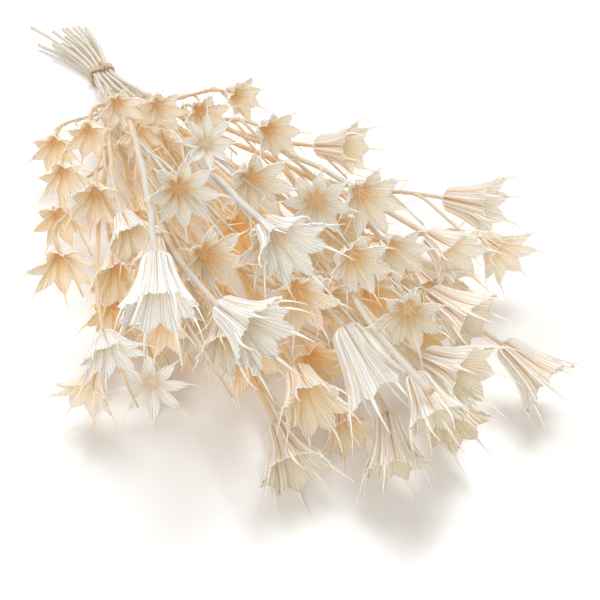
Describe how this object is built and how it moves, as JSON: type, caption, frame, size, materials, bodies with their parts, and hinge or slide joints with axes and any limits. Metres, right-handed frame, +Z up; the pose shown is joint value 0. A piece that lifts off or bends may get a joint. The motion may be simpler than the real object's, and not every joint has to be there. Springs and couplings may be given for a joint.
{
  "type": "nigella seed pod bunch",
  "caption": "Tied bunch of dried, bleached nigella stems with papery bell and star shaped seed pods, lying on its side.",
  "frame": {"origin": "middle of the bottom of the bounding box, on the surface the bunch lies on", "axes": "+Y along the bunch towards the cut stem ends, the pods at -Y; +Z up"},
  "size_m": [0.2522, 0.5042, 0.1102],
  "materials": {
    "bleached_pod": "matt, papery",
    "twine": "matt, twisted"
  },
  "bodies": {
    "root": {"stem_01": "bleached_pod", "stem_02": "bleached_pod", "stem_03": "bleached_pod", "stem_04": "bleached_pod", "stem_05": "bleached_pod", "stem_06": "bleached_pod", "stem_07": "bleached_pod", "stem_08": "bleached_pod", "stem_09": "bleached_pod", "stem_10": "bleached_pod", "stem_11": "bleached_pod", "stem_12": "bleached_pod", "stem_13": "bleached_pod", "stem_14": "bleached_pod", "stem_15": "bleached_pod", "tie": "twine"}
  },
  "joints": []
}
